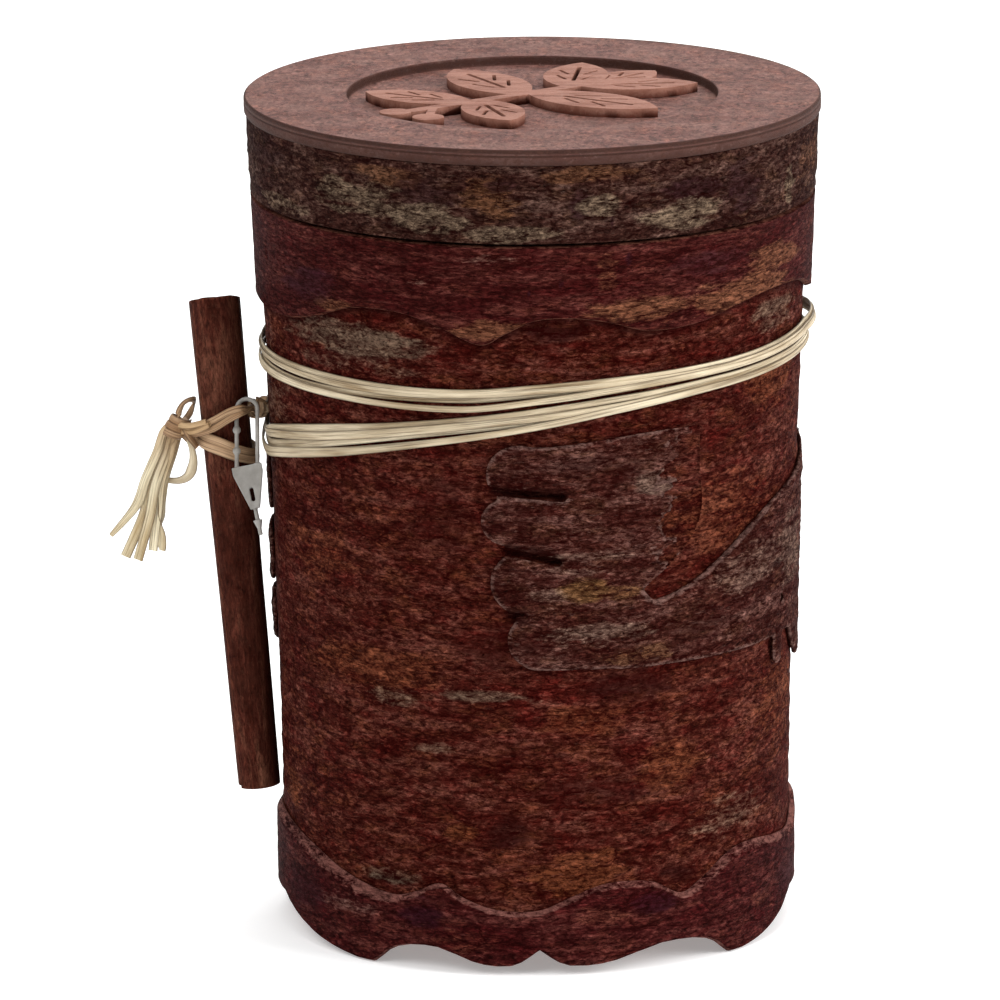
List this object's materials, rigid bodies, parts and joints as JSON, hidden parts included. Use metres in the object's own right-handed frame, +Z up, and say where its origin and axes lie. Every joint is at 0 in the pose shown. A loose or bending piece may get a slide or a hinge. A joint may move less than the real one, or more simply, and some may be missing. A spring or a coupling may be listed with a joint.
{
  "type": "bark container",
  "caption": "Round bark caddy with a lift-off lid, wavy applied bands, scalloped feet and a raffia tie holding a rolled cinnamon stick.",
  "frame": {"origin": "on the container's axis, at the plane of its feet", "axes": "+Z up the axis towards the lid, -Y to the front with the relief, -X towards the side with the tie"},
  "size_m": [0.1319, 0.106, 0.155],
  "materials": {
    "bark": "rough bark",
    "bark_band": "scraped bark",
    "bark_relief": "rough bark",
    "liner": "smooth inner bark",
    "board": "sawn, dusty",
    "ornament": "carved",
    "raffia": "dry fibre",
    "stick": "dry bark",
    "tag": "translucent"
  },
  "bodies": {
    "container": {"body_wall": "bark", "inner_liner": "liner", "base_disc": "board", "rim_band": "bark_band", "foot_band": "bark_band", "cloud_relief": "bark_relief", "side_relief": "bark_relief", "raffia_winding": "raffia"},
    "lid": {"lid_rim": "bark", "lid_liner": "liner", "lid_top": "board", "lid_ornament": "ornament"},
    "tie": {"raffia_link": "raffia", "stick_loop": "raffia", "raffia_knot": "raffia", "raffia_tail": "raffia", "raffia_small_loop": "raffia"},
    "stick": {"cinnamon_stick": "stick"},
    "tag": {"tag_loop": "tag"}
  },
  "joints": [
    {"name": "lid_lift", "type": "slide", "parent": "container", "child": "lid", "axis": [0, 0, 1], "range_m": [0, 0.06]},
    {"name": "tie_swing", "type": "hinge", "parent": "container", "child": "tie", "pos_m": [-0.05122, 0, 0.09659], "axis": [1, 0, 0], "range_deg": [-40, 40]},
    {"name": "stick_draw", "type": "slide", "parent": "tie", "child": "stick", "axis": [-0.0802, 0, 0.9968], "range_m": [0, 0.05]},
    {"name": "tag_swing", "type": "hinge", "parent": "tie", "child": "tag", "pos_m": [-0.05287, -0.00534, 0.09676], "axis": [-1, 0, 0], "range_deg": [0, 30]}
  ]
}
